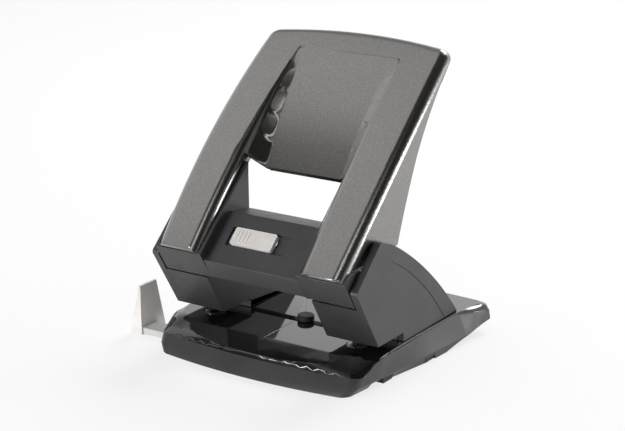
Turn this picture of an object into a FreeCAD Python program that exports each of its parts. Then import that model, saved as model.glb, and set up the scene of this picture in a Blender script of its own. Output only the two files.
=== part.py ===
import FreeCAD, Part
import os
import re
import Sketcher
from FreeCAD import Placement, Rotation, Vector

# A long-lever two-hole desk punch. Millimetres, +Z up, +Y towards the back.
# The origin is midway between the two punched holes, on the surface the punch stands on.
# Lever pieces are drawn flat in the lever's own frame, x across, y along its face from the
# front lip, z out of the face, and their Placement tips them up by lever_tilt at the lip.
# One side's pieces are drawn at +x and mirrored for the other side.

SIZES = {
    # punching
    "hole_pitch": 80, "pin_dia": 5.5, "pin_play": 0.04, "pin_tip_z": 19.5, "paper_z": 14,
    "slot_tall": 4.5, "stop_y": 12, "slot_rear_y": 13, "die_r": 5, "die_ring": 0.03,
    # pivot of the lever, and the steel pieces round it
    "pivot_y": -17, "pivot_z": 46, "pivot_r": 2, "pivot_play": 0.05, "barrel_r": 7.5,
    "ear_r": 4.5, "ear_thick": 2, "ear_gap": 10, "guide_bottom": 20.7, "guide_top": 26,
    "bush_r": 4, "bush_flange": 1.2, "bush_flange_r": 4.9, "bracket_back": 27,
    # pin head and its spring
    "head_r": 4.5, "head_tall": 2.8, "head_gap": 0.12, "wire_r": 0.4, "coil_r": 4,
    "coil_turns": 5.5, "coil_play": 0.05,
    # base
    "tray_top": 10.5, "deck_thick": 2.1, "rim_z": 13.2, "seam_low": 8, "bulge_z": 3.5,
    "front_x": 47.5, "front_y": -28.6, "front_bow": 3.8, "corner_front": 4.5, "side_y": -7.8,
    "side_x": 53.5, "mid_x": 60.5, "mid_y": 34, "aft_x": 62, "aft_y": 60, "rear_x": 64,
    "rear_y": 83, "rear_bow": 1.5, "corner_rear": 4, "bulge_x": 2.8, "bulge_y": 2,
    "rim_front_x": 51.8, "rim_front_y": -19.9, "rim_side_x": 57.4, "rim_aft_x": 58.2,
    "rim_rear_x": 63.4, "top_x": 56.6, "top_front_x": 44, "top_front_y": -13.8,
    "top_front_bow": 12.2, "top_rear_x": 59.5, "slope_y": -15.5, "slope_rise": 0.3125,
    "tail_y": 44, "tail_rise": 7.8, "tray_wall": 5, "skirt_top": 5.9, "plate_thick": 2,
    "plate_x": 50, "plate_front": -8, "plate_rear": 28, "ledge_tall": 1.2, "ledge_x": 26,
    "ledge_rear": 62,
    # housings
    "house_in": 28.5, "house_out": 56, "side_thick": 3.5, "inner_thick": 2.2, "wall": 2,
    "house_gap": 0.1, "front_foot_y": -8.3, "knee_y": -26.4, "knee_z": 48.4, "brow_y": -6.8,
    "brow_z": 66.7, "shoulder_y": 3.8, "shoulder_z": 63, "tail_tip_y": 62.6, "back_bow": 3.5,
    "seam_z": 38.9, "seam_y": -20.55, "seam_play": 0.4,
    # lever
    "lever_tilt": 42.3, "lip_y": -28.6, "lip_z": 56.2, "lever_half": 50, "lever_long": 124,
    "lever_bow": 4.6, "side_bow": 2.1, "face_bow": 4.4, "face_end": 0.9, "skin": 2.2,
    "edge_r": 5, "corner_r": 7, "arm_in": 28, "arm_wall": 2,
    "scoop_top": 114, "scoop_end": 52, "scoop_deep": 9.5, "scoop_half": 20.2, "scoop_lip": 12.4,
    "scoop_rise": 0.9, "scoop_slope": 4, "inner_r": 4.5,
    "skirt_s": 34, "skirt_deep": 27, "bridge_deep": 6.7, "bridge_s": 24.4, "cap_over": 1.7,
    "cap_wall": 1.5,
    "hub_s": 1.7, "hub_deep": 15.35, "nose_s": 18.1, "nose_deep": 22.6, "nose_r": 3,
    "web_thick": 4, "flange_thick": 2,
    # lock
    "lock_s": 12.1, "lock_deep": 12.5, "lock_left": -17, "lock_right": 5.6, "lock_wide": 9,
    "lock_travel": 5, "bolt_r": 2, "bolt_wall": 0.7, "bolt_play": 0.05, "lock_hole_y": -7,
    "lock_hole_z": 49.8,
    # paper guide
    "guide_front": -15.6, "guide_rear": -5.1, "guide_low": 0.8, "guide_high": 4,
    "guide_in": 30, "guide_out": -72, "stop_thick": 7.4, "stop_thin": 1.3, "stop_tall": 25.3,
    "channel_wall": 0.5,
    # chip tray
    "flap_x": 47.4, "flap_front": -3.9, "flap_rear": 38, "flap_wall": 1.1, "flap_top": 7.8,
    "flap_axis_y": 40.5, "flap_axis_z": 3, "flap_pin_r": 1.2, "flap_knuckle_r": 2.4,
    # small pieces
    "foot_tall": 2.5, "foot_long": 7.4, "foot_y": -4, "rear_foot_y": 27, "screw_r": 1.5,
    "screw_head_r": 2.6, "screw_head": 1.8, "buffer_r": 4, "buffer_tall": 3, "buffer_x": 3,
}

doc = FreeCAD.newDocument("HolePunch")
sheet = doc.addObject("Spreadsheet::Sheet", "Dims")
for row, (name, value) in enumerate(SIZES.items(), start=1):
    sheet.set(f"A{row}", name)
    sheet.set(f"B{row}", str(value))
    sheet.setAlias(f"B{row}", name)
doc.recompute()

WORD = re.compile(r"[a-z][a-z_0-9]*")
PARTS = []


# ---- tools that bind objects to the sheet ------------------------------------------------

def bind(text):
    """The text with each size name turned into a reference to its cell."""
    return WORD.sub(lambda m: "Dims." + m.group() if m.group() in SIZES else m.group(), str(text))


def size(text):
    return float(sheet.evalExpression(bind(text)))


def tie(item, prop, text):
    item.setExpression(prop, bind(text))


def keep(item, label):
    """Names a finished sub-part, so that it is exported."""
    item.Label = label
    PARTS.append(item)
    return item


def body(label):
    item = doc.addObject("PartDesign::Body", "Body_" + label)
    return keep(item, label)


def on_lever(item):
    """Tips a piece drawn in the lever's frame up to where the lever rests."""
    item.Placement = Placement(Vector(0, 0, 0), Rotation(Vector(1, 0, 0), 1))
    tie(item, "Placement.Rotation.Angle", "lever_tilt")
    tie(item, "Placement.Base.y", "lip_y")
    tie(item, "Placement.Base.z", "lip_z")
    return item


def mirrored(source, label):
    item = doc.addObject("Part::Mirroring", "Mirror_" + label)
    item.Source = source
    item.Normal = (1, 0, 0)
    return keep(item, label)


def sketch(owner, plane, start):
    item = owner.newObject("Sketcher::SketchObject", "Sketch")
    face = next(f for f in owner.Origin.OriginFeatures if f.Role == plane + "_Plane")
    item.AttachmentSupport = [(face, "")]
    item.MapMode = "FlatFace"
    tie(item, ".AttachmentOffset.Base.z", start)
    return item


def pin_point(item, geo, pos, u, v):
    for kind, text in (("DistanceX", u), ("DistanceY", v)):
        index = item.addConstraint(Sketcher.Constraint(kind, -1, 1, geo, pos, size(text)))
        tie(item, f"Constraints[{index}]", text)


def outline(item, corners):
    """Closed outline, anticlockwise. A corner is (u, v), or (u, v, bow) where the side that
    follows it is an arc that bows outwards by bow, or inwards where bow is negative."""
    first = item.GeometryCount
    sides = list(zip(corners, corners[1:] + corners[:1]))
    ends = []
    for corner, after in sides:
        a = Vector(size(corner[0]), size(corner[1]), 0)
        b = Vector(size(after[0]), size(after[1]), 0)
        bow = size(corner[2]) if len(corner) == 3 else 0
        if bow:
            out = Vector(b.y - a.y, a.x - b.x, 0).normalize()
            item.addGeometry(Part.Arc(a, (a + b) / 2 + out * bow, b), False)
        else:
            item.addGeometry(Part.LineSegment(a, b), False)
        ends.append((2, 1) if bow < 0 else (1, 2))
    for i, (corner, after) in enumerate(sides):
        follower = (i + 1) % len(sides)
        item.addConstraint(Sketcher.Constraint("Coincident", first + i, ends[i][1],
                                               first + follower, ends[follower][0]))
        pin_point(item, first + i, ends[i][0], corner[0], corner[1])
        if len(corner) == 3:
            du = f"(({after[0]})-({corner[0]}))"
            dv = f"(({after[1]})-({corner[1]}))"
            rule = f"({du}^2+{dv}^2)/(8*abs({corner[2]}))+abs({corner[2]})/2"
            index = item.addConstraint(Sketcher.Constraint("Radius", first + i, size(rule)))
            tie(item, f"Constraints[{index}]", rule)


def circle(item, u, v, radius):
    geo = item.addGeometry(Part.Circle(Vector(size(u), size(v), 0), Vector(0, 0, 1), size(radius)), False)
    pin_point(item, geo, 3, u, v)
    index = item.addConstraint(Sketcher.Constraint("Radius", geo, size(radius)))
    tie(item, f"Constraints[{index}]", radius)


def draw(owner, plane, start, shapes):
    """Sketch of outlines (lists of corners) and circles (tuples of u, v, radius)."""
    item = sketch(owner, plane, start)
    for shape in shapes:
        if isinstance(shape, list):
            outline(item, shape)
        else:
            circle(item, *shape)
    return item


def grow(owner, plane, start, length, *shapes):
    """Pad from start along the plane's normal. XY faces +Z, YZ faces +X."""
    item = owner.newObject("PartDesign::Pad", "Pad")
    item.Profile = draw(owner, plane, start, shapes)
    tie(item, "Length", length)
    return item


def cut(owner, plane, start, length, *shapes):
    """Pocket from start along the plane's normal."""
    profile = draw(owner, plane, start, shapes)
    item = owner.newObject("PartDesign::Pocket", "Pocket")
    item.Profile = profile
    item.Reversed = True
    tie(item, "Length", length)
    return item


def loft(owner, plane, *sections, kind="Additive"):
    """Straight-sided loft through (start, outline) pairs on one plane."""
    profiles = [draw(owner, plane, start, [shape]) for start, shape in sections]
    item = owner.newObject(f"PartDesign::{kind}Loft", "Loft")
    item.Profile = profiles[0]
    item.Sections = profiles[1:]
    item.Ruled = True
    return item


def box(x0, y0, x1, y1):
    """Outline of a rectangle from its low corner to its high one."""
    return [(x0, y0), (x1, y0), (x1, y1), (x0, y1)]


def both(x0, y0, x1, y1):
    """Two rectangles, at +x and at -x."""
    return box(x0, y0, x1, y1), box(f"-({x1})", y0, f"-({x0})", y1)


def soften(owner, radius, wanted):
    """Fillet of the edges of the body so far for which wanted(edge) holds."""
    doc.recompute()
    tip = owner.Tip
    names = [f"Edge{i}" for i, edge in enumerate(tip.Shape.Edges, start=1) if wanted(edge)]
    item = owner.newObject("PartDesign::Fillet", "Fillet")
    item.Base = (tip, names)
    tie(item, "Radius", radius)
    return item


def rod(label, radius, x0, x1, y, z):
    """Round bar along x."""
    item = doc.addObject("Part::Cylinder", "Rod_" + label)
    item.Placement = Placement(Vector(0, 0, 0), Rotation(Vector(0, 1, 0), 90))
    tie(item, "Radius", radius)
    tie(item, "Height", f"({x1})-({x0})")
    tie(item, "Placement.Base.x", x0)
    tie(item, "Placement.Base.y", y)
    tie(item, "Placement.Base.z", z)
    return item


# ---- base --------------------------------------------------------------------------------

def plan(bow, turn_bow, *right):
    """Plan of the base from its corners at +x: the two ends of the front corner, three places
    down the side, and the two ends of the rear corner."""
    front, turn, side, mid, aft, tail, end = right

    def flip(place):
        return f"-({place[0]})", place[1]

    rear = "corner_rear*0.29"
    return [(*flip(front), bow), (*front, turn_bow), turn, side, mid, aft, (*tail, rear),
            (*end, "rear_bow"), (*flip(end), rear), flip(tail), flip(aft), flip(mid), flip(side),
            (*flip(turn), turn_bow)]


def wall_plan(ground, bulge, rim):
    """Plan of the tray's outer wall, mixed from its plans on the ground, at bulge_z and at
    rim_z. The three shares add up to 1."""
    def mix(*values):
        return "+".join(f"{share}*({value})" for share, value in zip((ground, bulge, rim), values))

    front_x = mix("front_x", "front_x+bulge_x", "rim_front_x")
    front_y = mix("front_y", "front_y+bulge_y", "rim_front_y")
    rear_x = mix("rear_x", "rear_x+1", "rim_rear_x")
    return plan("front_bow", "corner_front*0.22",
                (front_x, front_y), (front_x + "+corner_front", front_y + "+corner_front"),
                (mix("side_x", "side_x+bulge_x", "rim_side_x"), "side_y"),
                (mix("mid_x", "mid_x", "rim_side_x"), "mid_y"),
                (mix("aft_x", "aft_x+0.6", "rim_aft_x"), "aft_y"),
                (rear_x, "rear_y-corner_rear"), (rear_x + "-corner_rear", "rear_y"))


# side view of the seam between tray and cover: low round the front, and high along the sides
SEAM = [("front_y-30", "seam_low"), ("rim_front_y+1", "seam_low", "0.35"),
        ("rim_front_y+5.4", "seam_low+2.7", "-0.35"), ("side_y", "rim_z-0.2"), ("side_y+8", "rim_z"),
        ("aft_y", "rim_z"), ("rear_y+5", "rim_z-4")]
# side view of the front slope of the top
SLOPE_WEDGE = [("slope_y", "paper_z"), ("slope_y", "paper_z+4"), ("slope_y-30", "paper_z+4"),
               ("slope_y-30", "paper_z-30*slope_rise")]
# floor of the tray that the cover's tongue fills
WELL = [("-plate_x-0.8", "plate_front-0.8"), ("plate_x+0.8", "plate_front-0.8"),
        ("plate_x+0.8", "side_y+9"), ("rim_side_x-2.2", "side_y+14"), ("rim_side_x-2.2", "aft_y"),
        ("rim_aft_x-1.5", "rear_y-7"), ("-(rim_aft_x-1.5)", "rear_y-7"), ("-(rim_side_x-2.2)", "aft_y"),
        ("-(rim_side_x-2.2)", "side_y+14"), ("-plate_x-0.8", "side_y+9")]


def backwards(path):
    """The same path the other way round, arcs included."""
    found = []
    for i in range(len(path) - 1, -1, -1):
        arc = path[i - 1][2:] if i else ()
        found.append((*path[i][:2], f"-({arc[0]})") if arc else path[i][:2])
    return found


def upright(edge):
    """Edges square to the XY plane."""
    heights = [v.Z for v in edge.Vertexes]
    return max(heights) - min(heights) > 0.999 * edge.Length


def base_tray():
    """Lower shell: walls that lean, and a deck that carries everything else."""
    item = body("base_tray")
    loft(item, "XY", ("0", wall_plan(1, 0, 0)), ("bulge_z", wall_plan(0, 1, 0)),
         ("rim_z", wall_plan(0, 0, 1)))
    cut(item, "YZ", "-80", "160", SEAM + [("rear_y+5", "rim_z+9"), ("front_y-30", "rim_z+9")])
    cut(item, "XY", "tray_top", "rim_z-tray_top+1", WELL)
    # hollow under the deck, and another behind the front
    cut(item, "XY", "0", "tray_top-deck_thick", [
        ("-46", "guide_front-channel_wall-1"), ("46", "guide_front-channel_wall-1"),
        ("side_x-tray_wall+1.5", "side_y-4"), ("mid_x-tray_wall", "mid_y"),
        ("rear_x-tray_wall-1", "rear_y-8"), ("tray_wall-rear_x+1", "rear_y-8"),
        ("tray_wall-mid_x", "mid_y"), ("tray_wall-side_x-1.5", "side_y-4")])
    cut(item, "XY", "0", "skirt_top", [
        ("-44", "front_y+7", "front_bow-0.3"), ("44", "front_y+7"), ("44", "guide_front-2.6"),
        ("-44", "guide_front-2.6")])
    # the underside climbs towards the back
    cut(item, "YZ", "-80", "160", [("tail_y", "0"), ("rear_y+5", "-2"), ("rear_y+5", "tail_rise")])
    # guide bar's way in, and the seats of the feet
    cut(item, "YZ", "-80", "40", box("guide_front-channel_wall-0.3", "-1",
                                     "guide_rear+channel_wall+0.1", "guide_high+2*channel_wall"))
    cut(item, "YZ", "40", "40", box("guide_rear-7", "-1", "foot_y", "foot_tall"))
    for side in ("40", "-80"):
        cut(item, "YZ", side, "40", box("foot_y", "-1", "foot_y+foot_long", "foot_tall"))
        cut(item, "YZ", side, "40", box("rear_foot_y", "-1", "rear_foot_y+foot_long", "foot_tall-0.5"))
    # chips fall through the deck, and screws come up through it
    cut(item, "XY", "tray_top-deck_thick", "deck_thick",
        ("hole_pitch/2", "0", "die_r"), ("-hole_pitch/2", "0", "die_r"))
    cut(item, "XY", "tray_top-deck_thick", "deck_thick", *screw_holes("screw_r", BRACKET_SCREWS))
    cut(item, "XY", "tray_top-deck_thick", "deck_thick", *screw_holes("screw_r", HOUSING_SCREWS))
    # ribs that carry the guide channel, and the knuckles of the chip tray's hinge
    for front, rear in (("guide_front-channel_wall", "guide_front+1.5"), ("guide_rear-1.5", "guide_rear")):
        grow(item, "XY", "guide_high+channel_wall", "tray_top-deck_thick-guide_high-channel_wall+0.5",
             box("-48", front, "18", rear))
    for x in ("-35", "31"):
        grow(item, "YZ", x, "4", [
            ("flap_axis_y-2.2", "flap_axis_z-1"), ("flap_axis_y+2.2", "flap_axis_z-1"),
            ("flap_axis_y+2.2", "tray_top-deck_thick+0.5"), ("flap_axis_y-2.2", "tray_top-deck_thick+0.5")])
        cut(item, "YZ", x, "4", ("flap_axis_y", "flap_axis_z", "flap_pin_r"))


BRACKET_SCREWS = [("hole_pitch/2-3", "stop_y+9"), ("hole_pitch/2+3", "stop_y+9")]
HOUSING_SCREWS = [("hole_pitch/2+2", "tail_y")]


def screw_holes(radius, places):
    """Circles at each place and at its mirror image."""
    found = []
    for x, y in places:
        found += [(x, y, radius), (f"-({x})", y, radius)]
    return found


def base_cover():
    """Glossy top: a rounded plate over the tray, with windows for what stands on the deck."""
    item = body("base_cover")
    rise = "(seam_low-bulge_z)/(rim_z-bulge_z)"
    loft(item, "XY", ("seam_low", wall_plan(0, f"(1-{rise})", rise)),
         ("seam_low+2.7", plan(
             "top_front_bow*0.53", "1.5", ("top_front_x+3.5", "rim_front_y-0.9"),
             ("top_x-0.5", "rim_front_y+5.4"), ("rim_side_x", "side_y+6"), ("rim_side_x", "mid_y"),
             ("rim_aft_x+1.5", "aft_y"), ("rim_rear_x+0.2", "rear_y-corner_rear"),
             ("rim_rear_x+0.2-corner_rear", "rear_y"))),
         ("rim_z-0.2", plan(
             "top_front_bow*0.87", "2", ("top_front_x+1", "top_front_y-2.4"),
             ("top_x+0.5", "side_y"), ("rim_side_x-0.2", "side_y+13"), ("rim_side_x-0.2", "mid_y"),
             ("rim_aft_x", "aft_y"), ("rim_rear_x-1", "rear_y-corner_rear-0.6"),
             ("rim_rear_x-1-corner_rear", "rear_y-0.4"))),
         ("paper_z", plan(
             "top_front_bow", "2.5", ("top_front_x", "top_front_y"), ("top_x", "side_y+9.3"),
             ("top_x", "side_y+18"), ("top_x", "mid_y"), ("top_x+0.6", "aft_y-2"),
             ("top_rear_x", "rear_y-corner_rear-3"), ("top_rear_x-corner_rear", "rear_y-2.5"))))
    cut(item, "YZ", "-80", "160", [("front_y-30", "-1"), ("rear_y+5", "-1")] + backwards(SEAM))
    cut(item, "YZ", "-80", "160", SLOPE_WEDGE)
    grow(item, "XY", "tray_top", "rim_z-tray_top+0.3", WELL)
    cut(item, "XY", "tray_top", "plate_thick", box("-plate_x-0.2", "plate_front-0.2",
                                                   "plate_x+0.2", "plate_rear+0.2"))
    grow(item, "XY", "paper_z-0.5", "ledge_tall+0.5", box("-ledge_x", "stop_y", "ledge_x", "ledge_rear"))
    cut(item, "XY", "paper_z", "ledge_tall", ("buffer_x", "stop_y+1", "buffer_r"))
    cut(item, "XY", "tray_top", "10", *screw_holes("die_r+0.1", [("hole_pitch/2", "0")]))
    cut(item, "XY", "tray_top", "10", *both("hole_pitch/2-ear_gap/2-ear_thick-0.3", "slot_rear_y+0.1",
                                            "hole_pitch/2+ear_gap/2+ear_thick+0.3", "bracket_back+0.3"))
    cut(item, "XY", "tray_top", "10", *screw_holes("screw_r", HOUSING_SCREWS))


def base_plate():
    item = body("base_plate")
    grow(item, "XY", "tray_top", "plate_thick", box("-plate_x", "plate_front", "plate_x", "plate_rear"))
    cut(item, "XY", "tray_top", "plate_thick", *screw_holes("die_r", [("hole_pitch/2", "0")]))
    cut(item, "XY", "tray_top", "plate_thick", *screw_holes("screw_r", BRACKET_SCREWS))


def die(label, side):
    outer = doc.addObject("Part::Cylinder", "Outer_" + label)
    inner = doc.addObject("Part::Cylinder", "Bore_" + label)
    for item, radius in ((outer, "die_r"), (inner, "pin_dia/2+die_ring")):
        tie(item, "Radius", radius)
        tie(item, "Height", "paper_z-tray_top")
        tie(item, "Placement.Base.x", f"{side}*hole_pitch/2")
        tie(item, "Placement.Base.z", "tray_top")
    ring = doc.addObject("Part::Cut", "Cut_" + label)
    ring.Base = outer
    ring.Tool = inner
    keep(ring, label)


def feet():
    item = body("rubber_feet")
    grow(item, "XY", "0", "foot_tall", *both("side_x-3", "foot_y", "side_x+2.5", "foot_y+foot_long"))
    grow(item, "XY", "0", "foot_tall-0.5", *both("mid_x-6", "rear_foot_y", "mid_x-1",
                                                 "rear_foot_y+foot_long"))


def buffer():
    item = body("lever_buffer")
    grow(item, "XY", "paper_z", "buffer_tall", ("buffer_x", "stop_y+1", "buffer_r"))


def chip_tray():
    """Hinged tray under the dies. Its floor is flush with the ground."""
    item = body("chip_tray")
    grow(item, "XY", "0", "flap_top", box("-flap_x", "flap_front", "flap_x", "flap_rear"))
    cut(item, "XY", "flap_wall", "10", box("-flap_x+flap_wall", "flap_front+flap_wall",
                                           "flap_x-flap_wall", "flap_rear-flap_wall"))
    grow(item, "XY", "0", "flap_wall", [
        ("38", "guide_rear-5.5"), ("52", "guide_rear-5.5"), ("52", "foot_y-0.3"),
        ("flap_x-1", "foot_y-0.3"), ("flap_x-1", "flap_front+0.5"), ("38", "flap_front+0.5")])
    for x in ("-30.6", "22.6"):
        grow(item, "YZ", x, "8", ("flap_axis_y", "flap_axis_z", "flap_knuckle_r"))
        grow(item, "YZ", x, "8",
             box("flap_rear-0.5", "flap_axis_z-flap_knuckle_r", "flap_axis_y", "flap_axis_z"))
        cut(item, "YZ", x, "8", ("flap_axis_y", "flap_axis_z", "flap_pin_r+pivot_play"))


# ---- paper guide -------------------------------------------------------------------------

def guide_bar():
    item = body("guide_bar")
    grow(item, "XY", "guide_low", "guide_high-guide_low",
         box("guide_out-4", "guide_front", "guide_in", "guide_rear"))


def guide_stop():
    """Upright stop on the outer end of the bar, wider and thicker towards its foot."""
    item = body("guide_stop")
    loft(item, "XY",
         ("0.3", box("guide_out-stop_thick", "guide_front-0.9", "guide_out", "guide_rear+7.2")),
         ("stop_tall", box("guide_out-stop_thin", "guide_front-0.9", "guide_out", "guide_rear+1")))
    cut(item, "YZ", "guide_out-4", "4", box("guide_front", "guide_low", "guide_rear", "guide_high"))


def guide_channel():
    """Steel channel that hugs the bar under the deck."""
    item = body("guide_channel")
    low = "guide_low-channel_wall-0.1"
    high = "guide_high+channel_wall"
    grow(item, "YZ", "-54", "72", [
        ("guide_front-channel_wall", low), ("guide_front+1.2", low), ("guide_front+1.2", "guide_low-0.1"),
        ("guide_front-0.1", "guide_low-0.1"), ("guide_front-0.1", "guide_high+0.1"),
        ("guide_rear+0.1", "guide_high+0.1"), ("guide_rear+0.1", "guide_low-0.1"),
        ("guide_rear-1.2", "guide_low-0.1"), ("guide_rear-1.2", low), ("guide_rear+channel_wall", low),
        ("guide_rear+channel_wall", high), ("guide_front-channel_wall", high)])


# ---- housings and punching units, drawn at +x ----------------------------------------------

PIN_X = "hole_pitch/2"
SLOT_TOP = "(paper_z+slot_tall)"
LEAN = "(front_foot_y-knee_y)/(knee_z-slot_tall-paper_z)"


def front_face(z, inset="0"):
    """y of the housings' leaning front face at height z, or that much behind it."""
    return f"front_foot_y-(({z})-{SLOT_TOP})*{LEAN}+({inset})*sqrt(1+({LEAN})^2)"


def near(x, y, z):
    """Test for edges whose middle is close to a point. A blank coordinate is not tested."""
    wanted = [None if c is None else size(c) for c in (x, y, z)]

    def test(edge):
        middle = edge.CenterOfMass
        return all(w is None or abs(c - w) < 0.6 for c, w in zip(middle, wanted))
    return test


def housing():
    """Right cover of a punching unit: side plate, inner wall, front, slot roof and back."""
    item = body("right_housing")
    floor = "paper_z+house_gap"
    grow(item, "YZ", "house_out-side_thick", "side_thick", [
        ("front_foot_y", SLOT_TOP), ("slot_rear_y", SLOT_TOP), ("slot_rear_y+0.6", floor),
        ("tail_tip_y", floor, "back_bow"), ("shoulder_y", "shoulder_z"),
        ("brow_y", "brow_z"), ("knee_y", "knee_z")])
    soften(item, "9", near("house_out-side_thick/2", "shoulder_y", "shoulder_z"))
    soften(item, "4", near("house_out-side_thick/2", "brow_y", "brow_z"))
    soften(item, "2", near("house_out-side_thick/2", "knee_y", "knee_z"))
    # inner wall, low enough at the front to stay behind the lever's cap
    grow(item, "YZ", "house_in", "inner_thick", [
        ("front_foot_y", SLOT_TOP), ("slot_rear_y", SLOT_TOP), ("slot_rear_y+0.6", floor),
        ("tail_tip_y-3", floor), ("tail_tip_y-32", "38"), ("4", "46"), ("-2", "lock_hole_z+3.4"),
        ("-9", "lock_hole_z+3.4"), ("-11.5", "lock_hole_z+0.2"), ("pivot_y+3", "seam_z+0.6"),
        ("seam_y", "seam_z")])
    grow(item, "YZ", "house_in", "inner_thick", ("pivot_y", "pivot_z", "ear_r"))
    # leaning front, and the roof of the paper slot
    span = "house_out-side_thick-house_in+0.2"
    grow(item, "YZ", "house_in", span, [
        ("front_foot_y", SLOT_TOP), ("slot_rear_y", SLOT_TOP), ("slot_rear_y", SLOT_TOP + "+wall"),
        (front_face(SLOT_TOP + "+wall", "wall"), SLOT_TOP + "+wall"),
        (front_face("seam_z", "wall"), "seam_z"), ("seam_y", "seam_z")])
    cut(item, "YZ", "house_in+inner_thick", "house_out-side_thick-house_in-inner_thick",
        ("pivot_y", "pivot_z", "barrel_r+seam_play"))
    cut(item, "XY", SLOT_TOP, "wall", (PIN_X, "0", "pin_dia/2+0.4"))
    # back that closes the space between the two plates
    grow(item, "YZ", "house_in", span, [
        ("slot_rear_y", floor), ("slot_rear_y+0.4", floor), ("slot_rear_y+0.4", SLOT_TOP + "+wall"),
        ("slot_rear_y", SLOT_TOP + "+wall")])
    grow(item, "YZ", "house_in", span, [
        ("tail_tip_y-3", floor), ("30", "31"), ("9", "34.5"), ("9", "32.5"), ("29", "29"),
        ("tail_tip_y-3-wall*1.6", floor)])
    # fine groove along the back of the side plate
    cut(item, "YZ", "house_out-0.3", "0.3", [
        ("tail_tip_y-12.6", "paper_z+1.2", "back_bow"), ("shoulder_y-2", "shoulder_z-7"),
        ("shoulder_y-2.3", "shoulder_z-7.4", "-back_bow"), ("tail_tip_y-13", "paper_z+0.9")])
    # screw boss behind the bracket
    for x, y in HOUSING_SCREWS:
        grow(item, "XY", floor, "8", (x, y, "screw_r+2.2"))
        cut(item, "XY", floor, "6", (x, y, "screw_r"))
    # pivot pin and lock bolt
    cut(item, "YZ", "house_in", "house_out-house_in-wall", ("pivot_y", "pivot_z", "pivot_r"))
    cut(item, "YZ", "house_in", "inner_thick", ("lock_hole_y", "lock_hole_z", "bolt_r+0.25"))
    return item


def bracket():
    """Steel frame of a punching unit: two ears that hold the pivot, and the pin's guide."""
    item = body("right_bracket")
    foot = "tray_top+plate_thick"
    for x in (f"{PIN_X}-ear_gap/2-ear_thick", f"{PIN_X}+ear_gap/2"):
        grow(item, "YZ", x, "ear_thick", [
            ("-6", "guide_bottom"), ("slot_rear_y+0.6", "guide_bottom"), ("slot_rear_y+0.6", foot),
            ("bracket_back", foot), ("bracket_back", "24"), ("5", "30"),
            ("pivot_y+ear_r", "pivot_z"), ("pivot_y+0.8", "pivot_z-ear_r"), ("-6", "24")])
        grow(item, "YZ", x, "ear_thick", ("pivot_y", "pivot_z", "ear_r"))
        cut(item, "YZ", x, "ear_thick", ("pivot_y", "pivot_z", "pivot_r"))
    for web in (box("-5.5", "guide_bottom", "5.5", "guide_top"),
                box("bracket_back-4.5", foot, "bracket_back", "23"),
                box("slot_rear_y+0.6", foot, "bracket_back", foot + "+3")):
        grow(item, "YZ", f"{PIN_X}-ear_gap/2-0.1", "ear_gap+0.2", web)
    cut(item, "XY", "guide_bottom", "guide_top-guide_bottom", (PIN_X, "0", "bush_r"))
    cut(item, "XY", foot, "3", *[(x, y, "screw_r") for x, y in BRACKET_SCREWS])
    return item


def turned(label, side, rings):
    """Stack of round slices on a pin's axis: each is (low z, height, radius)."""
    slices = []
    for i, (low, tall, radius) in enumerate(rings):
        item = doc.addObject("Part::Cylinder", f"Slice{i}_{label}")
        tie(item, "Radius", radius)
        tie(item, "Height", tall)
        tie(item, "Placement.Base.x", f"{side}*hole_pitch/2")
        tie(item, "Placement.Base.z", low)
        slices.append(item)
    return slices


def joined(label, shapes):
    item = doc.addObject("Part::MultiFuse", "Fuse_" + label)
    item.Shapes = shapes
    return item


def less(label, base, tool):
    item = doc.addObject("Part::Cut", "Less_" + label)
    item.Base = base
    item.Tool = tool
    return item


def guide_bush(label, side):
    solid = joined(label, turned(label, side, [
        ("guide_bottom", "guide_top-guide_bottom", "bush_r"),
        ("guide_top", "bush_flange", "bush_flange_r")]))
    bore = turned(label + "_bore", side, [("guide_bottom", "guide_top+bush_flange-guide_bottom",
                                           "pin_dia/2+pin_play")])[0]
    keep(less(label, solid, bore), label)


NOSE_Z = ("(lip_z+nose_s*sin(lever_tilt)-nose_deep*cos(lever_tilt)-nose_r)")
HEAD_LOW = f"({NOSE_Z}-head_gap-head_tall)"


def punch_pin(label, side):
    """Pin with a notched end, so that it shears the paper from two sides."""
    shaft = turned(label, side, [("pin_tip_z", f"{HEAD_LOW}-pin_tip_z+head_tall*0.6", "pin_dia/2")])[0]
    notch = doc.addObject("Part::Cylinder", "Notch_" + label)
    notch.Placement = Placement(Vector(0, 0, 0), Rotation(Vector(1, 0, 0), -90))
    tie(notch, "Radius", "pin_dia*0.75")
    tie(notch, "Height", "pin_dia*2")
    tie(notch, "Placement.Base.x", f"{side}*hole_pitch/2")
    tie(notch, "Placement.Base.y", "-pin_dia")
    tie(notch, "Placement.Base.z", "pin_tip_z-pin_dia*0.45")
    keep(less(label, shaft, notch), label)


def pin_head(label, side):
    solid = turned(label, side, [(HEAD_LOW, "head_tall", "head_r")])[0]
    bore = turned(label + "_bore", side, [(HEAD_LOW, "head_tall*0.6", "pin_dia/2")])[0]
    keep(less(label, solid, bore), label)


def return_spring(label, side):
    path = doc.addObject("Part::Helix", "Helix_" + label)
    tie(path, "Radius", "coil_r")
    rise = f"({HEAD_LOW}-guide_top-bush_flange-2*wire_r-2*coil_play)"
    tie(path, "Height", rise)
    tie(path, "Pitch", f"{rise}/coil_turns")
    wire = doc.addObject("Part::Circle", "Wire_" + label)
    tie(wire, "Radius", "wire_r")
    wire.Placement = Placement(Vector(0, 0, 0), Rotation(Vector(1, 0, 0), 90))
    tie(wire, "Placement.Base.x", "coil_r")
    coil = doc.addObject("Part::Sweep", "Coil_" + label)
    coil.Sections = [wire]
    coil.Spine = (path, ["Edge1"])
    coil.Solid = True
    coil.Frenet = True
    tie(coil, "Placement.Base.x", f"{side}*hole_pitch/2")
    tie(coil, "Placement.Base.z", "guide_top+bush_flange+wire_r+coil_play")
    keep(coil, label)


# ---- lever, drawn flat -----------------------------------------------------------------------

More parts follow.
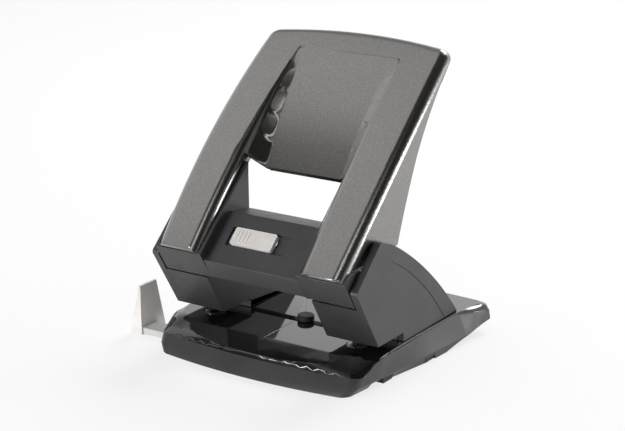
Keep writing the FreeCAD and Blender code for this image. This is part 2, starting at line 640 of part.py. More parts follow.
def lever_cover():
    """Glossy shell: two arms with a scooped panel and a hand opening between them."""
    item = on_lever(body("lever_cover"))
    grow(item, "XY", "-skirt_deep-1", "skirt_deep+1+face_bow", [
        ("-lever_half", "-2.2"), ("lever_half", "-2.2", "side_bow"),
        ("lever_half", "lever_long", "lever_bow"), ("-lever_half", "lever_long", "side_bow")])
    soften(item, "corner_r", lambda e: upright(e) and e.CenterOfMass.y > size("lever_long") - 10)
    # the face is a shallow arch along the lever
    cut(item, "YZ", "-lever_half-side_bow-1", "2*(lever_half+side_bow+1)", [
        ("-10", "-face_end", "-face_bow"), ("lever_long+8", "-face_end"), ("lever_long+8", "face_bow+1"),
        ("-10", "face_bow+1")])
    soften(item, "edge_r", lambda e: all(v.Z > -2 for v in e.Vertexes) and e.CenterOfMass.y > 5)
    # skirts: deep at the pivot, and shallow along the handle
    cut(item, "YZ", "-lever_half-side_bow-1", "2*(lever_half+side_bow+1)", [
        ("-10", "-2.6"), ("-10", "-40"), ("lever_long+20", "-40"), ("lever_long+20", "-3.6"),
        ("107", "-3.8", "1.2"), ("71", "-9.8", "0.9"), ("skirt_s", "-skirt_deep"),
        ("12", "-10"), ("3", "-2.6")])
    cut(item, "XY", "-40", "40-skin", [
        ("skin-lever_half", "-0.2"), ("lever_half-skin", "-0.2", "side_bow"),
        ("lever_half-skin", "lever_long-2"), ("skin-lever_half", "lever_long-2", "side_bow")])
    cut(item, "XY", "-skin-1", "skin+2+face_bow", box("-arm_in", "-5", "arm_in", "scoop_end"))
    for x in ("arm_in", "-arm_in-arm_wall"):
        grow(item, "YZ", x, "arm_wall", box("-0.2", "-5.6", "scoop_end+2", "-0.5"))
    soften(item, "inner_r", lambda e: abs(abs(e.CenterOfMass.x) - size("arm_in")) < 0.3
           and e.CenterOfMass.z > 0.5 and 10 < e.CenterOfMass.y < size("scoop_end"))
    # scoop: its floor sinks towards the hand opening, between walls that slant down to it
    loft(item, "XZ", *[(scoop_place(share), trough("arm_in+2.6", "0", scoop_foot(share) + "+0.9",
                                                   scoop_floor(share) + "+skin-0.2"))
                       for share in (0, 0.3, 0.6)],
         ("-scoop_top-4", trough("arm_in", "0", "arm_in-1.5", "skin+0.05")))
    loft(item, "XZ", *[(scoop_place(share), rounded_trough(share)) for share in (0, 0.2, 0.4, 0.6, 0.8, 1)],
         kind="Subtractive")
    grow(item, "YZ", "-scoop_half+0.2", "2*scoop_half-0.4", [
        ("scoop_end", "-scoop_lip"), ("scoop_end+1.6", "-scoop_lip"), ("scoop_end+2.4", "-scoop_deep-0.6"),
        ("scoop_end", "-scoop_deep-0.6")])
    cut(item, "XY", "-skin-0.1", "1.3", *screw_holes("screw_r", COVER_SCREWS))


def trough(half, high, foot, deep):
    """Section of the scoop: open width and height of its edges, width and depth of its floor."""
    return [(f"-({half})", high), (f"-({foot})", f"-({deep})"), (foot, f"-({deep})"), (half, high)]


def rounded_trough(share):
    """Section of the scoop's cut: its shoulders start rounded and sharpen towards the top."""
    station = f"((scoop_end+{share}*(scoop_top-scoop_end)+10)/(lever_long+18))"
    face = f"(4*face_bow*{station}*(1-{station})-face_end)"
    r = f"(inner_r*(0.06+0.9*(1-{share})))"
    shoulder = [(f"arm_in+{r}+0.5", f"{face}+0.2"), (f"arm_in+0.45*{r}", f"{face}-0.14*{r}"),
                (f"arm_in+0.12*{r}", f"{face}-0.5*{r}"), (f"arm_in-0.05*{r}", f"{face}-{r}"),
                (scoop_foot(share), f"-({scoop_floor(share)})")]
    return [(f"-({x})", z) for x, z in shoulder] + shoulder[::-1]


def scoop_place(share):
    """Place along the lever, share 0 at the hand opening and 1 at the scoop's top."""
    return f"-scoop_end-{share}*(scoop_top-scoop_end)"


def scoop_foot(share):
    """Half width of the scoop's floor."""
    return f"scoop_half+{share}*(arm_in-scoop_slope-scoop_half)"


def scoop_floor(share):
    """Depth of the scoop's floor, which leaves the face smoothly and falls ever faster."""
    return f"(scoop_deep+scoop_rise)*(1-{share})^2-scoop_rise"


COVER_SCREWS = [("hole_pitch/2-5.4", "20"), ("hole_pitch/2-5.4", "58")]
FRONT = "-0.19"


def front_line(deep, inset="0"):
    """Place along the lever of its front plane at a depth under the face, or behind it."""
    return f"-2.2+{FRONT}*({deep})+({inset})"


def lever_frame():
    """Matte inner frame: bridge with its bevel, liners, end caps and hinge walls."""
    item = on_lever(body("lever_frame"))
    seam = "(hub_deep+2.05)"
    toe = (front_line(seam, "2.6"), "-hub_deep-5.65")
    # bridge between the arms
    deep = "bridge_deep"
    grow(item, "YZ", "-arm_in", "2*arm_in", [
        (front_line("16.8"), "-16.8"), (front_line("16.8", "2.2"), "-17.2"),
        (front_line("bridge_deep+2.2", "2.2"), "-bridge_deep-2.2"), ("bridge_s-1.1", "-bridge_deep-2.2"),
        ("bridge_s+7", "-18.2"), ("bridge_s+8.7", "-16.8"), ("bridge_s", "-bridge_deep"),
        (front_line("bridge_deep", "0.6"), "-bridge_deep")])
    # liners inside the arms, closed round the pivot
    for x in ("arm_in-arm_wall", "-arm_in"):
        grow(item, "YZ", x, "arm_wall", [
            (front_line("2.6"), "-2.6"), (front_line(seam), "-" + seam), toe, ("8", "-23"),
            ("bridge_s+10", "-19"), ("bridge_s+21", "-6.7"), ("bridge_s+25", "-2.6")])
    # cap in front of each arm, with the lip that turns over the housing
    for x in ("arm_in-arm_wall", "-lever_half-cap_over"):
        grow(item, "YZ", x, "lever_half+cap_over-arm_in+arm_wall", [
            (front_line("2.6"), "-2.6"), (front_line(seam), "-" + seam),
            (front_line(seam, "1.95"), "-" + seam), (front_line("2.6", "1.95"), "-2.6")])
    for x in ("house_in+inner_thick+0.4", "-lever_half-cap_over"):
        grow(item, "YZ", x, "lever_half+cap_over-house_in-inner_thick-0.4", [
            (front_line(seam), "-" + seam), toe, (front_line(seam, "3.9"), "-hub_deep-4.6"),
            (front_line(seam, "1.95"), "-" + seam)])
    # outer walls that hang on the pivot
    for x in ("lever_half+cap_over-cap_wall", "-lever_half-cap_over"):
        grow(item, "YZ", x, "cap_wall", [
            (front_line("2.6"), "-2.6"), (front_line(seam), "-" + seam), toe,
            ("hub_s+4.5", "-hub_deep-6"), ("hub_s+7.3", "-hub_deep"), ("hub_s+7", "-8"), ("3", "-2.6")])
    cut(item, "YZ", "-lever_half-cap_over-1", "2*(lever_half+cap_over)+2", ("hub_s", "-hub_deep", "pivot_r+pivot_play"))
    # recess and slot of the lock slider, and the bore of its bolt
    cut(item, "XY", "-bridge_deep-1.2", "2", box("lock_left-2.4", "lock_s-lock_wide/2-0.4",
                                                 "lock_right+lock_travel+1.4", "lock_s+lock_wide/2+0.4"))
    cut(item, "XY", "-bridge_deep-3", "4", box("lock_left+5", "lock_s-2.9",
                                               "lock_right-5+lock_travel", "lock_s+2.9"))
    cut(item, "YZ", "arm_in-arm_wall-0.1", "arm_wall+0.2", ("lock_s", "-lock_deep", "bolt_r+bolt_play"))


def press_lever():
    """Right steel lever under the cover: its nose pushes the pin down."""
    item = on_lever(body("right_press_lever"))
    x = f"{PIN_X}-web_thick/2"
    grow(item, "XY", "-skin-flange_thick", "flange_thick", box("31.5", "12", "lever_half-skin-0.4", "64"))
    grow(item, "YZ", x, "web_thick", [
        ("hub_s+0.3", "-hub_deep-4.55"), ("nose_s-5.9", "-nose_deep+1.5"),
        ("nose_s-2.1", "-nose_deep-1.3"), ("nose_s+2.9", "-nose_deep+0.8"), ("24", "-17"), ("50", "-9"),
        ("60", "-skin-0.1"), ("8", "-skin-0.1"), ("hub_s-3.3", "-hub_deep+3.2")])
    grow(item, "YZ", x, "web_thick", ("hub_s", "-hub_deep", "ear_r+0.1"))
    grow(item, "YZ", x, "web_thick", ("nose_s", "-nose_deep", "nose_r"))
    cut(item, "YZ", x, "web_thick", ("hub_s", "-hub_deep", "pivot_r+pivot_play"))
    cut(item, "XY", "-skin-flange_thick-1", "3",
        *[(u, v, "screw_r") for u, v in COVER_SCREWS])
    return item


def cover_screws():
    item = on_lever(body("cover_screws"))
    grow(item, "XY", "-skin-flange_thick-screw_head", "screw_head",
         *screw_holes("screw_head_r-0.2", COVER_SCREWS))
    for x, y in COVER_SCREWS:
        for side in ("", "-"):
            grow(item, "XY", "-skin-flange_thick-0.1", "flange_thick+1.1", (f"{side}({x})", y, "screw_r"))


def lock_slider():
    item = on_lever(body("lock_slider"))
    grow(item, "XY", "-bridge_deep-1.2", "2.2", box("lock_left", "lock_s-lock_wide/2",
                                                    "lock_right", "lock_s+lock_wide/2"))
    soften(item, "1.2", lambda e: upright(e))
    grow(item, "XY", "-lock_deep-bolt_r-bolt_wall", "lock_deep+bolt_r+bolt_wall-bridge_deep-1",
         box("lock_left+6", "lock_s-2.6", "lock_right-6", "lock_s+2.6"))
    cut(item, "YZ", "lock_left+5", "lock_right-lock_left", ("lock_s", "-lock_deep", "bolt_r"))


def lock_bolt():
    item = on_lever(body("lock_bolt"))
    grow(item, "YZ", "lock_left+6", "arm_in-0.2-lock_left-6", ("lock_s", "-lock_deep", "bolt_r"))


def lock_retainer():
    """Plate behind the bridge that keeps the slider in."""
    item = on_lever(body("lock_retainer"))
    grow(item, "XY", "-bridge_deep-3.2", "1", box("lock_left-4", "lock_s-6.5",
                                                  "lock_right+lock_travel+4", "lock_s+6.5"))
    cut(item, "XY", "-bridge_deep-3.3", "1.2", box("lock_left+5", "lock_s-2.9",
                                                   "lock_right-5+lock_travel", "lock_s+2.9"))


# ---- screws of the base ------------------------------------------------------------------------

def base_screws(label, places, top):
    item = body(label)
    under = "tray_top-deck_thick"
    grow(item, "XY", under + "-screw_head", "screw_head", *screw_holes("screw_head_r", places))
    for x, y in places:
        for side in ("", "-"):
            grow(item, "XY", under + "-0.1", f"{top}-({under}-0.1)", (f"{side}({x})", y, "screw_r"))


# ---- the whole punch -----------------------------------------------------------------------------

base_tray()
base_cover()
base_plate()
feet()
buffer()
chip_tray()
keep(rod("hinge", "flap_pin_r", "-36", "36", "flap_axis_y", "flap_axis_z"), "chip_tray_pin")
guide_bar()
guide_stop()
guide_channel()
mirrored(housing(), "left_housing")
mirrored(bracket(), "left_bracket")
base_screws("bracket_screws", BRACKET_SCREWS, "(tray_top+plate_thick+3)")
base_screws("housing_screws", HOUSING_SCREWS, "(paper_z+house_gap+6)")
for hand, side in (("right", 1), ("left", -1)):
    die(hand + "_die", side)
    guide_bush(hand + "_guide_bush", side)
    punch_pin(hand + "_punch_pin", side)
    pin_head(hand + "_pin_head", side)
    return_spring(hand + "_return_spring", side)
PIVOT_FROM, PIVOT_TO = "house_in-2.7", "house_out-wall"
keep(rod("right", "pivot_r", PIVOT_FROM, PIVOT_TO, "pivot_y", "pivot_z"), "right_pivot_pin")
keep(rod("left", "pivot_r", f"-({PIVOT_TO})", f"-({PIVOT_FROM})", "pivot_y", "pivot_z"), "left_pivot_pin")
lever_cover()
lever_frame()
mirrored(press_lever(), "left_press_lever")
cover_screws()
lock_slider()
lock_bolt()
lock_retainer()

doc.recompute()
bad = [f"{o.Name} ({o.Label}): {o.State}" for o in doc.Objects
       if "Invalid" in o.State or "Error" in o.State]
for item in doc.Objects:
    if item.TypeId == "PartDesign::Pocket" and item.BaseFeature is not None:
        if item.BaseFeature.Shape.Volume - item.Shape.Volume < 0.01:
            bad.append(f"{item.Name} of {item.getParentGeoFeatureGroup().Label} cuts nothing")
for item in PARTS:
    if item.Shape.isNull() or not item.Shape.isValid():
        bad.append(f"{item.Label}: shape is null or not valid")
if bad:
    raise SystemExit("\n".join(bad))

os.makedirs("parts", exist_ok=True)
for item in PARTS:
    item.Shape.exportStep(f"parts/{item.Label}.step")
    print(item.Label, len(item.Shape.Solids), round(item.Shape.Volume), item.Shape.BoundBox)
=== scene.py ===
import math

import bmesh
import bpy
from mathutils import Matrix, Vector


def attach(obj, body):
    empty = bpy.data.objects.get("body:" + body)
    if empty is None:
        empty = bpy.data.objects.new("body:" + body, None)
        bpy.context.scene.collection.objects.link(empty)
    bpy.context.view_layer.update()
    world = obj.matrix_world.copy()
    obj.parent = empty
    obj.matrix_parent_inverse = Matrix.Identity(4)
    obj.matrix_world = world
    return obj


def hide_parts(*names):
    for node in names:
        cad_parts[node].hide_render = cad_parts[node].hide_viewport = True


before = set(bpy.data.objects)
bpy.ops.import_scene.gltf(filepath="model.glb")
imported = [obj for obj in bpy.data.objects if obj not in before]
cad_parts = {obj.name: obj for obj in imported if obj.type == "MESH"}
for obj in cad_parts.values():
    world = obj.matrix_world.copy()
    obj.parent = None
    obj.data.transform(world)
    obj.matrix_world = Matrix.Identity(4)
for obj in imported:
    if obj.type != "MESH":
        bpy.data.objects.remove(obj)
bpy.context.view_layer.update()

mm = 0.001
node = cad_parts
bpy.ops.object.select_all(action="DESELECT")
print("frame loaded:", len(node), "nodes")


# small tools

joinAngle = 35  # sharper bends keep their line
cubeJoin = 40  # the same for the small blocks
thinStrip = 0.35
flatCopy = {"weld": 0.002, "plain": 0.5, "curved": 0.05}  # merge distance, and bends taken as flat


def pickOnly(piece):
    bpy.ops.object.select_all(action="DESELECT")
    piece.select_set(True)
    bpy.context.view_layer.objects.active = piece


def addModifier(piece, kind, **values):
    modifier = piece.modifiers.new(kind.title(), kind)
    for name, value in values.items():
        setattr(modifier, name, value)
    return modifier


def applyAll(piece):
    pickOnly(piece)
    for modifier in list(piece.modifiers):
        bpy.ops.object.modifier_apply(modifier=modifier.name)


def paint(piece, material):
    piece.data.materials.clear()
    piece.data.materials.append(material)


def pickEdges(piece, wanted):
    pickOnly(piece)
    bpy.ops.object.mode_set(mode="EDIT")
    bpy.ops.mesh.select_mode(type="EDGE")
    bpy.ops.mesh.select_all(action="DESELECT")
    shape = bmesh.from_edit_mesh(piece.data)
    found = 0
    for edge in shape.edges:
        if len(edge.link_faces) == 2 and wanted(edge):
            edge.select = True
            found += 1
    bmesh.update_edit_mesh(piece.data)
    return found


def weighEdges(piece, weight, wanted):
    found = pickEdges(piece, wanted)
    if found:
        bpy.ops.transform.edge_bevelweight(value=-1)
        bpy.ops.transform.edge_bevelweight(value=weight)
    bpy.ops.object.mode_set(mode="OBJECT")
    print("   ", piece.name, "edges weighed:", found)


def roundWeighed(piece, width, segments=3):
    addModifier(piece, "BEVEL", width=width, segments=segments, limit_method="WEIGHT",
                miter_outer="MITER_ARC", use_clamp_overlap=False)
    applyAll(piece)
    weighEdges(piece, 0, lambda edge: True)


def smoothNormals(piece):
    pickOnly(piece)
    bpy.ops.object.shade_smooth_by_angle(angle=math.radians(joinAngle))
    addModifier(piece, "WEIGHTED_NORMAL", mode="FACE_AREA", weight=50, keep_sharp=True)
    applyAll(piece)


def thin(edge):
    return min(face.calc_area() / max(side.calc_length() for side in face.edges)
               for face in edge.link_faces) < thinStrip * mm


def finished(piece, body, slotName, material, *nodes):
    paint(piece, material)
    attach(piece, body)
    if nodes:
        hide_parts(*nodes)
    return piece


def rawCopy(nodeName, name, flat=flatCopy["plain"]):
    piece = bpy.data.objects.new(name, node[nodeName].data.copy())
    bpy.context.collection.objects.link(piece)
    pickOnly(piece)
    bpy.ops.object.mode_set(mode="EDIT")
    bpy.ops.mesh.select_all(action="SELECT")
    bpy.ops.mesh.remove_doubles(threshold=flatCopy["weld"] * mm)
    bpy.ops.mesh.dissolve_limited(angle_limit=math.radians(flat))
    bpy.ops.object.mode_set(mode="OBJECT")
    bpy.ops.object.shade_smooth()
    return piece


def bend(edge):
    return math.degrees(edge.calc_face_angle(0))


def middle(edge):
    return (edge.verts[0].co + edge.verts[1].co) / 2 / mm


# the lever's own frame: across, along the face from the lip, and depth under the face

tilt = math.radians(42.3)
lip = Vector((0, -28.6, 56.2))


def onLever(point):
    down = point - lip
    return Vector((down.x, down.y * math.cos(tilt) + down.z * math.sin(tilt),
                   down.y * math.sin(tilt) - down.z * math.cos(tilt)))


# materials

def newMaterial(name, colour, roughness, metallic=0.0, coat=0.0, coatRoughness=0.03, specular=0.5):
    material = bpy.data.materials.new(name)
    material.use_nodes = True
    shader = material.node_tree.nodes["Principled BSDF"]
    shader.inputs["Base Color"].default_value = (*colour, 1)
    shader.inputs["Roughness"].default_value = roughness
    shader.inputs["Metallic"].default_value = metallic
    shader.inputs["Coat Weight"].default_value = coat
    shader.inputs["Coat Roughness"].default_value = coatRoughness
    shader.inputs["Specular IOR Level"].default_value = specular
    return material


def addNode(material, kind, **sockets):
    item = material.node_tree.nodes.new(kind)
    for name, value in sockets.items():
        item.inputs[name].default_value = value
    return item


def join(material, source, output, target, socket):
    material.node_tree.links.new(source.outputs[output], target.inputs[socket])


def objectSpace(material, stretch=(1, 1, 1)):
    place = addNode(material, "ShaderNodeTexCoord")
    mapping = addNode(material, "ShaderNodeMapping", Scale=stretch)
    join(material, place, "Object", mapping, "Vector")
    return mapping


def noise(material, perMetre, detail=3.0, stretch=(1, 1, 1)):
    texture = addNode(material, "ShaderNodeTexNoise", Scale=perMetre, Detail=detail, Roughness=0.6)
    join(material, objectSpace(material, stretch), "Vector", texture, "Vector")
    return texture


def ramp(material, source, output, stops):
    item = addNode(material, "ShaderNodeValToRGB")
    while len(item.color_ramp.elements) < len(stops):
        item.color_ramp.elements.new(0.5)
    for element, (place, colour) in zip(item.color_ramp.elements, stops):
        element.position = place
        element.color = (*colour, 1) if isinstance(colour, tuple) else (colour, colour, colour, 1)
    join(material, source, output, item, "Fac")
    return item


def shaderOf(material):
    return material.node_tree.nodes["Principled BSDF"]


def grain(material, perMetre, depth, detail=2.0, stretch=(1, 1, 1)):
    shader = shaderOf(material)
    bump = addNode(material, "ShaderNodeBump", Strength=1.0, Distance=depth)
    join(material, noise(material, perMetre, detail, stretch), "Fac", bump, "Height")
    if shader.inputs["Normal"].is_linked:
        material.node_tree.links.new(shader.inputs["Normal"].links[0].from_socket, bump.inputs["Normal"])
    join(material, bump, "Normal", shader, "Normal")


def varyColour(material, perMetre, dark, light):
    mix = ramp(material, noise(material, perMetre), "Fac", [(0.35, dark), (0.65, light)])
    join(material, mix, "Color", shaderOf(material), "Base Color")


def varyRoughness(material, perMetre, low, high, stretch=(1, 1, 1)):
    mix = ramp(material, noise(material, perMetre, stretch=stretch), "Fac", [(0.35, low), (0.7, high)])
    join(material, mix, "Color", shaderOf(material), "Roughness")


def flakePaint():
    material = newMaterial("flakePaint", (0.2, 0.195, 0.188), 0.3, metallic=1.0, coat=1.0, coatRoughness=0.02)
    shader = shaderOf(material)
    cells = addNode(material, "ShaderNodeTexVoronoi", Scale=5200.0)
    join(material, objectSpace(material), "Vector", cells, "Vector")
    split = addNode(material, "ShaderNodeSeparateColor")
    join(material, cells, "Color", split, "Color")
    tone = ramp(material, split, "Red", [(0.0, (0.150, 0.146, 0.140)), (0.6, (0.185, 0.180, 0.173)),
                                         (0.9, (0.225, 0.220, 0.212)), (1.0, (0.33, 0.32, 0.31))])
    join(material, tone, "Color", shader, "Base Color")
    tilt = addNode(material, "ShaderNodeBump", Strength=0.06, Distance=0.04 * mm)
    join(material, split, "Green", tilt, "Height")
    join(material, tilt, "Normal", shader, "Normal")
    return material


def moulded(name, colour, roughness, depth):
    material = newMaterial(name, colour, roughness)
    dark = tuple(0.8 * c for c in colour)
    varyColour(material, 60.0, dark, colour)
    varyRoughness(material, 90.0, roughness - 0.05, roughness + 0.06)
    grain(material, 5200.0, depth)
    return material


def glossy(name, colour, roughness):
    material = newMaterial(name, colour, roughness, coat=0.6, coatRoughness=0.02)
    varyRoughness(material, 45.0, roughness, roughness + 0.05)
    grain(material, 260.0, 0.012 * mm, detail=1.0)
    return material


def metal(name, colour, roughness, stretch=(1, 1, 1)):
    material = newMaterial(name, colour, roughness, metallic=1.0)
    varyRoughness(material, 900.0, roughness - 0.06, roughness + 0.12, stretch=stretch)
    grain(material, 1800.0, 0.006 * mm, stretch=stretch)
    return material


paintFlake = flakePaint()
plasticDark = moulded("plasticDark", (0.032, 0.0325, 0.034), 0.42, 0.02 * mm)
plasticGloss = glossy("plasticGloss", (0.008, 0.008, 0.009), 0.06)
plasticSatin = moulded("plasticSatin", (0.014, 0.014, 0.015), 0.26, 0.008 * mm)
plasticLight = moulded("plasticLight", (0.78, 0.75, 0.72), 0.38, 0.012 * mm)
plasticBar = moulded("plasticBar", (0.60, 0.60, 0.58), 0.36, 0.012 * mm)
rubberBlack = moulded("rubberBlack", (0.012, 0.012, 0.012), 0.7, 0.04 * mm)
steelZinc = metal("steelZinc", (0.62, 0.63, 0.64), 0.3)
steelGround = metal("steelGround", (0.75, 0.76, 0.78), 0.2, stretch=(1, 1, 14))
bronze = metal("bronze", (0.58, 0.42, 0.2), 0.34)
print("materials made:", len(bpy.data.materials))


# hidden works and small metal stay as the solids are

plainFinish = {
    "steelZinc": ["base_plate", "chip_tray_pin", "guide_channel", "right_bracket", "left_bracket",
                  "bracket_screws", "housing_screws", "right_pin_head", "left_pin_head",
                  "right_press_lever", "left_press_lever", "cover_screws", "lock_bolt", "lock_retainer",
                  "right_return_spring", "left_return_spring"],
    "steelGround": ["right_die", "left_die", "right_punch_pin", "left_punch_pin", "right_pivot_pin",
                    "left_pivot_pin"],
    "bronze": ["right_guide_bush", "left_guide_bush"],
    "rubberBlack": ["rubber_feet"],
}
for finish, names in plainFinish.items():
    for name in names:
        for place in node[name].material_slots:
            place.material = bpy.data.materials[finish]


# lever cover: the moulded shell with its open ends rounded

cover = {"endEdge": 0.5, "skirtEdge": 0.4, "sharp": 40, "endTo": 2, "skirtFrom": 49}

coverShell = rawCopy("lever_cover", "coverShell", flat=flatCopy["curved"])


def endEdge(edge):
    return bend(edge) > cover["sharp"] and not thin(edge) and onLever(middle(edge)).y < cover["endTo"]


def skirtEdge(edge):
    place = onLever(middle(edge))
    return (bend(edge) > cover["sharp"] and not thin(edge) and place.y > cover["endTo"]
            and abs(place.x) > cover["skirtFrom"])


for wanted, width in ((endEdge, cover["endEdge"]), (skirtEdge, cover["skirtEdge"])):
    weighEdges(coverShell, 1.0, wanted)
    roundWeighed(coverShell, width * mm)
smoothNormals(coverShell)
finished(coverShell, "lever", "flake_cover", paintFlake, "lever_cover")


# glossy top: small roundings on its raised rim and on the ridge before it

top = {"rimEdge": 0.6, "rimSharp": 40, "rimLevel": 13.6, "rimSide": (55.5, 57.5), "rimLong": (3, 58),
       "ridgeEdge": 0.6, "ridgeSharp": 20, "ridgeLevel": 12.5, "ridgeTo": 0}

baseTop = rawCopy("base_cover", "baseTop", flat=flatCopy["curved"])


def rimEdge(edge):
    place = middle(edge)
    sideFrom, sideTo = top["rimSide"]
    longFrom, longTo = top["rimLong"]
    return (bend(edge) > top["rimSharp"] and place.z > top["rimLevel"]
            and sideFrom < abs(place.x) < sideTo and longFrom < place.y < longTo)


def ridgeEdge(edge):
    place = middle(edge)
    return bend(edge) > top["ridgeSharp"] and place.z > top["ridgeLevel"] and place.y < top["ridgeTo"]


for wanted, width in ((rimEdge, top["rimEdge"]), (ridgeEdge, top["ridgeEdge"])):
    weighEdges(baseTop, 1.0, wanted)
    roundWeighed(baseTop, width * mm, segments=4)
smoothNormals(baseTop)
finished(baseTop, "base", "gloss_black", plasticGloss, "base_cover")


# moulded pieces with their edges rounded

mouldSharp = 25
mouldings = {
    "bridgeFrame": dict(solid="lever_frame", body="lever", slot="dark_matte", paint=plasticDark, edge=0.3),
    "rightHousing": dict(solid="right_housing", body="base", slot="dark_matte", paint=plasticDark, edge=0.4),
    "leftHousing": dict(solid="left_housing", body="base", slot="dark_matte", paint=plasticDark, edge=0.4),
    "baseShell": dict(solid="base_tray", body="base", slot="dark_matte", paint=plasticDark, edge=0.3),
    "paperStop": dict(solid="guide_stop", body="paper_guide", slot="light_plastic", paint=plasticLight,
                      edge=0.5),
    "paperBar": dict(solid="guide_bar", body="paper_guide", slot="bar_plastic", paint=plasticBar, edge=0.3),
    "chipTray": dict(solid="chip_tray", body="chip_tray", slot="tray_plastic", paint=plasticSatin, edge=0.3),
    "lockSlider": dict(solid="lock_slider", body="lock", slot="light_plastic", paint=plasticLight, edge=0.25),
    "bridgeBuffer": dict(solid="lever_buffer", body="base", slot="rubber", paint=rubberBlack, edge=0.8),
}
for name, piece in mouldings.items():
    shape = rawCopy(piece["solid"], name)
    weighEdges(shape, 1.0, lambda edge: bend(edge) > mouldSharp and not thin(edge))
    roundWeighed(shape, piece["edge"] * mm)
    smoothNormals(shape)
    finished(shape, piece["body"], piece["slot"], piece["paint"], piece["solid"])
print("mouldings made:", len(mouldings))


# ribs of the lock slider, and the line on the base that shows the middle of the sheet

def block(name, centre, size, slope=0.0):
    bpy.ops.mesh.primitive_cube_add(size=1, location=Vector(centre) * mm, rotation=(slope, 0, 0))
    piece = bpy.context.active_object
    piece.name = name
    piece.dimensions = Vector(size) * mm
    bpy.ops.object.transform_apply(location=False, rotation=False, scale=True)
    return piece


def fromLever(across, along, deep):
    return (across, lip.y + along * math.cos(tilt) + deep * math.sin(tilt),
            lip.z + along * math.sin(tilt) - deep * math.cos(tilt))


ribs = {"first": -14.6, "count": 4, "pitch": 2.0, "wide": 0.7, "long": 6.4, "tall": 0.5, "along": 12.0,
        "deep": 5.75, "edge": 0.2}
ribRow = block("lockRibs", fromLever(ribs["first"], ribs["along"], ribs["deep"]),
               (ribs["wide"], ribs["long"], ribs["tall"]), tilt)
addModifier(ribRow, "ARRAY", count=ribs["count"], use_relative_offset=False, use_constant_offset=True,
            constant_offset_displace=(ribs["pitch"] * mm, 0, 0))
addModifier(ribRow, "BEVEL", width=ribs["edge"] * mm, segments=3)
applyAll(ribRow)
bpy.ops.object.transform_apply(location=True, rotation=True, scale=True)
bpy.ops.object.shade_smooth_by_angle(angle=math.radians(cubeJoin))
finished(ribRow, "lock", "light_plastic", plasticLight)

line = {"x": -0.8, "wide": 0.5, "tall": 0.3, "flatFrom": -15.4, "flatTo": 7.0, "top": 14.1, "slopeTo": -25.0,
        "fall": 0.3125, "edge": 0.12}
fall = math.atan(line["fall"])
slopeRun = (line["flatFrom"] - line["slopeTo"]) / math.cos(fall)
lineLevel = line["top"] - line["tall"] / 2
middleLine = block("middleLine", (line["x"], (line["flatFrom"] + line["flatTo"]) / 2, lineLevel),
                   (line["wide"], line["flatTo"] - line["flatFrom"], line["tall"]))
slopeLine = block("slopeLine", (line["x"], (line["flatFrom"] + line["slopeTo"]) / 2,
                                lineLevel - slopeRun * math.sin(fall) / 2),
                  (line["wide"], slopeRun, line["tall"]), fall)
for piece in (middleLine, slopeLine):
    addModifier(piece, "BEVEL", width=line["edge"] * mm, segments=3)
    applyAll(piece)
    bpy.ops.object.transform_apply(location=True, rotation=True, scale=True)
    bpy.ops.object.shade_smooth_by_angle(angle=math.radians(cubeJoin))
    finished(piece, "base", "gloss_black", plasticGloss)
print("small details made")


# floor, light and camera

studio = {"floor": 6.0, "floorDrop": 0.1, "floorColour": 0.25, "floorGlow": 0.75,
          "skyFront": 0.45, "skyBack": 1.2}

bpy.ops.mesh.primitive_plane_add(size=studio["floor"], location=(0, 0, -studio["floorDrop"] * mm))
floor = bpy.context.active_object
floor.name = "floor"
floorPaper = newMaterial("floorPaper", (studio["floorColour"],) * 3, 0.9, specular=0.1)
shaderOf(floorPaper).inputs["Emission Color"].default_value = (1, 1, 1, 1)
shaderOf(floorPaper).inputs["Emission Strength"].default_value = studio["floorGlow"]
paint(floor, floorPaper)

world = bpy.data.worlds.new("studioSky")
bpy.context.scene.world = world
world.use_nodes = True
tree = world.node_tree
sky = tree.nodes["Background"]
sky.inputs["Strength"].default_value = 1.0
look = tree.nodes.new("ShaderNodeTexCoord")
split = tree.nodes.new("ShaderNodeSeparateXYZ")
tree.links.new(look.outputs["Generated"], split.inputs["Vector"])


def skyRange(source, low, high, fromTone, toTone):
    item = tree.nodes.new("ShaderNodeMapRange")
    item.interpolation_type = "SMOOTHSTEP"
    for name, value in (("From Min", low), ("From Max", high), ("To Min", fromTone), ("To Max", toTone)):
        item.inputs[name].default_value = value
    tree.links.new(source, item.inputs["Value"])
    return item.outputs["Result"]


def skyPatch(direction, wide, core, tone, below):
    facing = tree.nodes.new("ShaderNodeVectorMath")
    facing.operation = "DOT_PRODUCT"
    facing.inputs[1].default_value = Vector(direction).normalized()
    tree.links.new(look.outputs["Generated"], facing.inputs[0])
    share = skyRange(facing.outputs["Value"], math.cos(math.radians(wide)), math.cos(math.radians(core)),
                     0, 1)
    mix = tree.nodes.new("ShaderNodeMix")
    mix.data_type = "FLOAT"
    mix.inputs["B"].default_value = tone
    tree.links.new(share, mix.inputs["Factor"])
    tree.links.new(below, mix.inputs["A"])
    return mix.outputs["Result"]


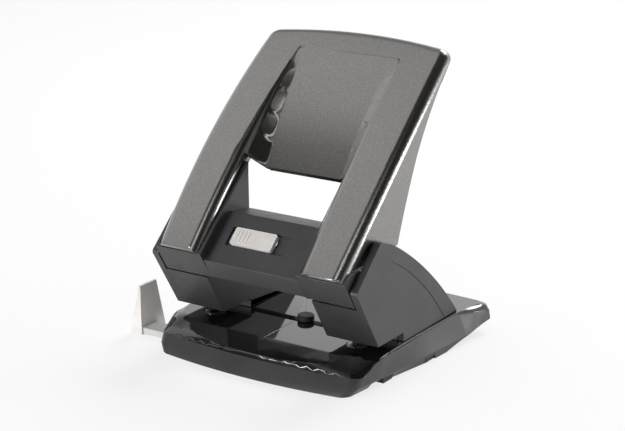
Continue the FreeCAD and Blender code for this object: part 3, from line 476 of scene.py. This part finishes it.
patches = [  # direction, outer and inner angle, brightness
    ((-0.60, -0.20, 0.77), 40, 24, 1.15),
    ((-0.47, 0.50, 0.72), 30, 16, 0.45),
    ((0.45, -0.15, 0.88), 54, 40, 0.02),
    ((0.26, -0.56, 0.79), 12, 6, 3.0),
    ((-0.52, -0.83, 0.20), 42, 18, 0.12),
]
tone = skyRange(split.outputs["Y"], -1, 1, studio["skyFront"], studio["skyBack"])
for direction, wide, core, brightness in patches:
    tone = skyPatch(direction, wide, core, brightness, tone)
tree.links.new(tone, sky.inputs["Color"])

lamps = {
    "softRight": dict(place=(0.95, 0.52, 0.16), aim=(0, 0, 0.05), size=(0.3, 0.3), watts=4.0),
    "softBack": dict(place=(0.0, 0.85, 0.9), aim=(0, 0, 0.05), size=(0.6, 0.4), watts=7.0),
    "softFront": dict(place=(-0.35, -1.0, 0.06), aim=(0, 0, 0.04), size=(0.4, 0.2), watts=8.0),
}
for name, lamp in lamps.items():
    bpy.ops.object.light_add(type="AREA", location=lamp["place"])
    light = bpy.context.active_object
    light.name = name
    light.data.shape = "RECTANGLE"
    light.data.size, light.data.size_y = lamp["size"]
    light.data.energy = lamp["watts"]
    light.rotation_euler = (Vector(lamp["aim"]) - Vector(lamp["place"])).to_track_quat("-Z", "Y").to_euler()

camera = {"place": (0.43099, -0.61758, 0.30025), "azimuth": 33.911, "elevation": 17.145, "roll": -0.385,
          "lens": 100.13}
turn, lift, roll = (math.radians(camera[k]) for k in ("azimuth", "elevation", "roll"))
back = Vector((math.sin(turn) * math.cos(lift), -math.cos(turn) * math.cos(lift), math.sin(lift)))
right = Vector((math.cos(turn), math.sin(turn), 0))
up = back.cross(right)
across = right * math.cos(roll) + up * math.sin(roll)
upward = up * math.cos(roll) - right * math.sin(roll)
bpy.ops.object.camera_add(location=camera["place"])
eye = bpy.context.active_object
eye.name = "camera"
eye.data.lens = camera["lens"]
eye.data.sensor_width = 36
eye.rotation_euler = Matrix((across, upward, back)).transposed().to_euler()
bpy.context.scene.camera = eye
bpy.context.scene.view_settings.view_transform = "Standard"
print("stage set")
